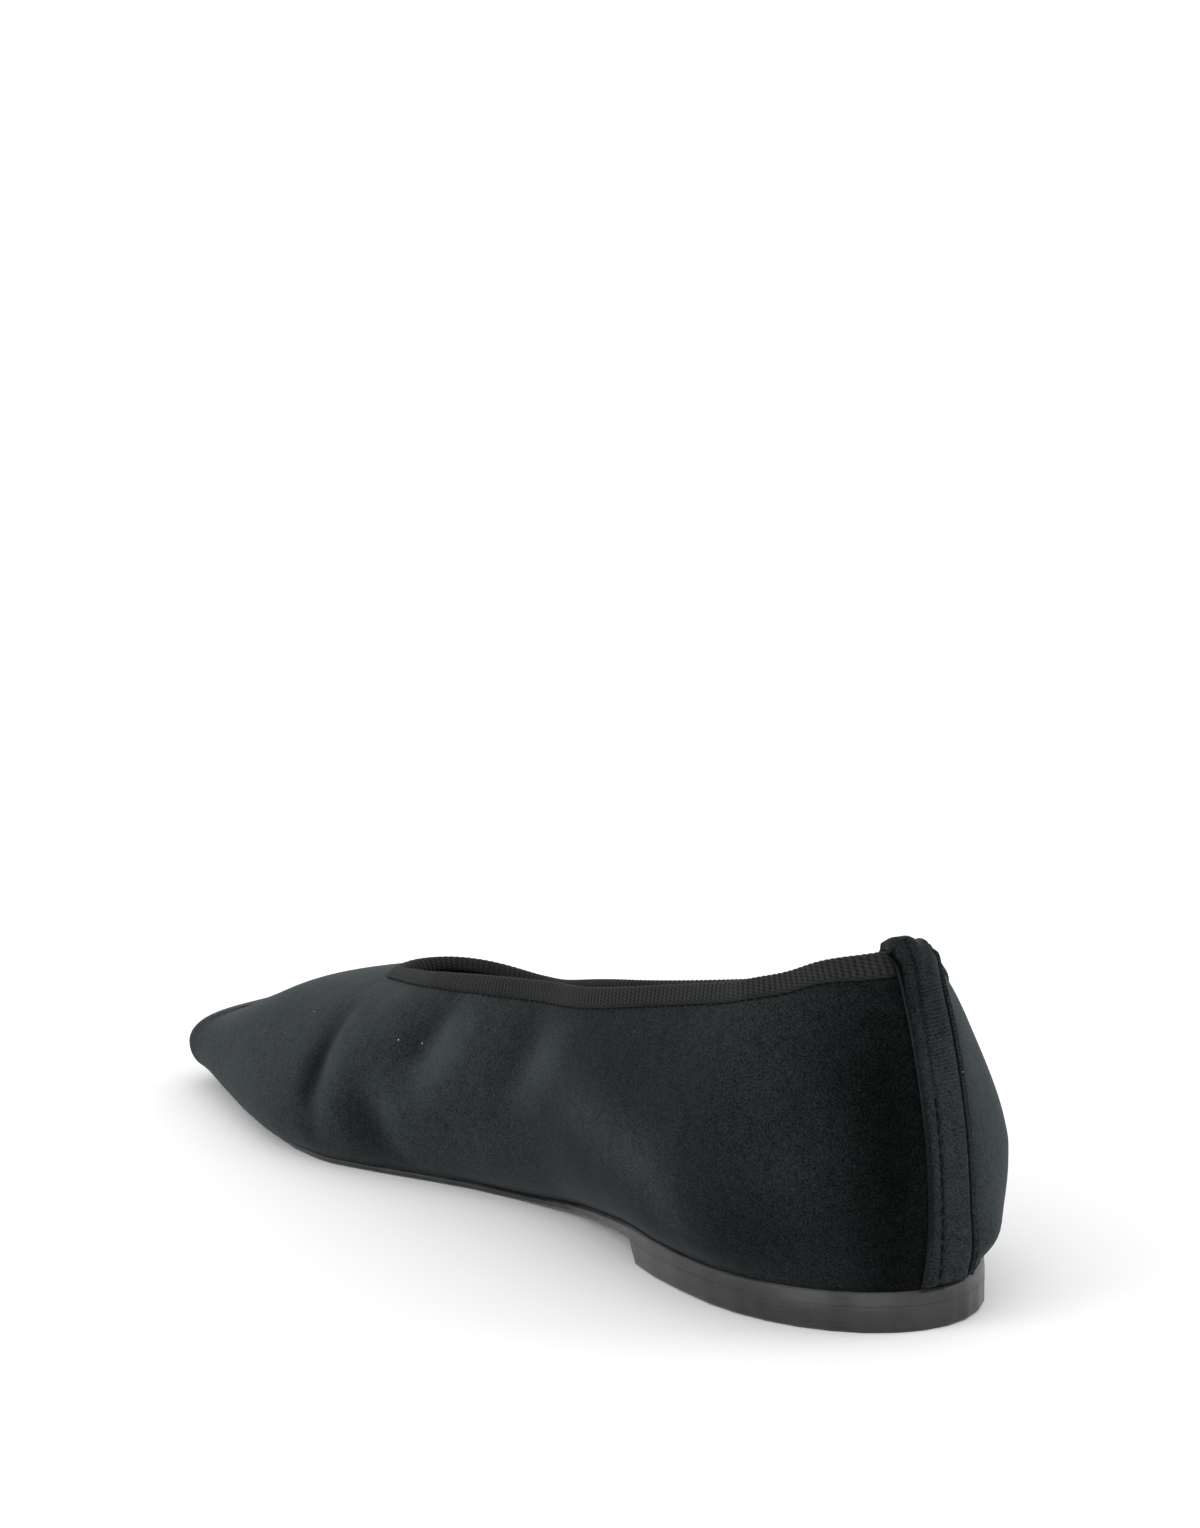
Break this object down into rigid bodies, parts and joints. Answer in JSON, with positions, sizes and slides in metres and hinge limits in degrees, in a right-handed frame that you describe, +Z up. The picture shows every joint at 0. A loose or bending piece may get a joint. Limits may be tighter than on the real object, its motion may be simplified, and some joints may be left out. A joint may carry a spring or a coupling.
{
  "type": "ballet flat",
  "caption": "Square-toed velvet ballet flat for the right foot, with a ribbon-bound collar, a strip over the back seam, and a thin sole on a low heel.",
  "frame": {"origin": "on the floor, under the centre of the box round the whole shoe", "axes": "+Z up; the toe points to -Y and the heel to +Y; +X is the wearer's left, the inner side of this right shoe"},
  "size_m": [0.0758, 0.263, 0.0695],
  "materials": {
    "velvet": "blue-black velvet with a soft nap",
    "ribbed_ribbon": "black ribbed grosgrain, matte",
    "strip_velvet": "blue-black velvet, stitched flat",
    "sock_leather": "smooth, dark and matte",
    "sole_leather": "black edge paint, half gloss",
    "heel_rubber": "black, half gloss, brushed along its edge"
  },
  "bodies": {
    "root": {"upper": "velvet", "topline_binding": "ribbed_ribbon", "back_strip": "strip_velvet", "insole": "sock_leather", "outsole": "sole_leather", "heel": "heel_rubber"}
  },
  "joints": []
}
